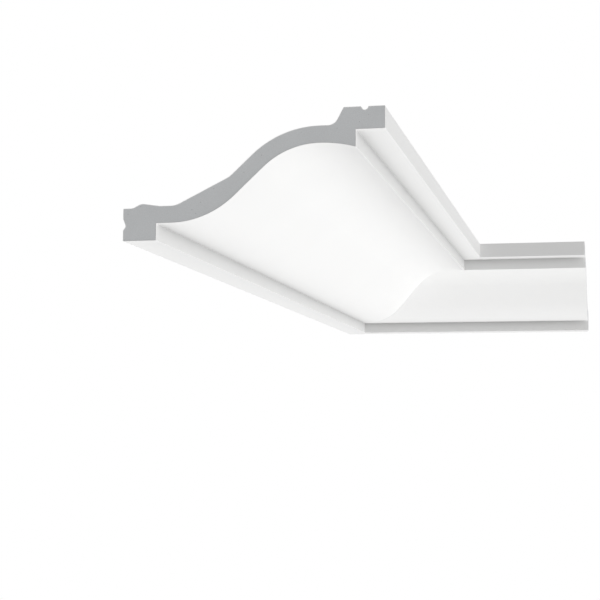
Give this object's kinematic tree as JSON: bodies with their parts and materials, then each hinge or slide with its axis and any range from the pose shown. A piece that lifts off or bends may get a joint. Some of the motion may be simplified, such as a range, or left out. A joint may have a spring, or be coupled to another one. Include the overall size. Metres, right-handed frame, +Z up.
{
  "type": "cornice moulding section",
  "caption": "Hollow-backed ogee cornice for the angle between wall and ceiling: a long and a short length of one foam section, mitred in an inside corner, with a square wall foot and lip.",
  "frame": {"origin": "the room corner at the moulding's lower edge, where both wall faces meet the undersides of the wall feet", "axes": "+Z up to the ceiling; +X along the short run, away from the long run's wall; -Y along the long run, away from the short run's wall"},
  "size_m": [0.376, 1.11, 0.11],
  "materials": {
    "primed_foam": "dense foam with a smooth matt white primer, grey and finely pored where it is cut"
  },
  "bodies": {
    "root": {"long_run": "primed_foam", "short_run": "primed_foam"}
  },
  "joints": []
}
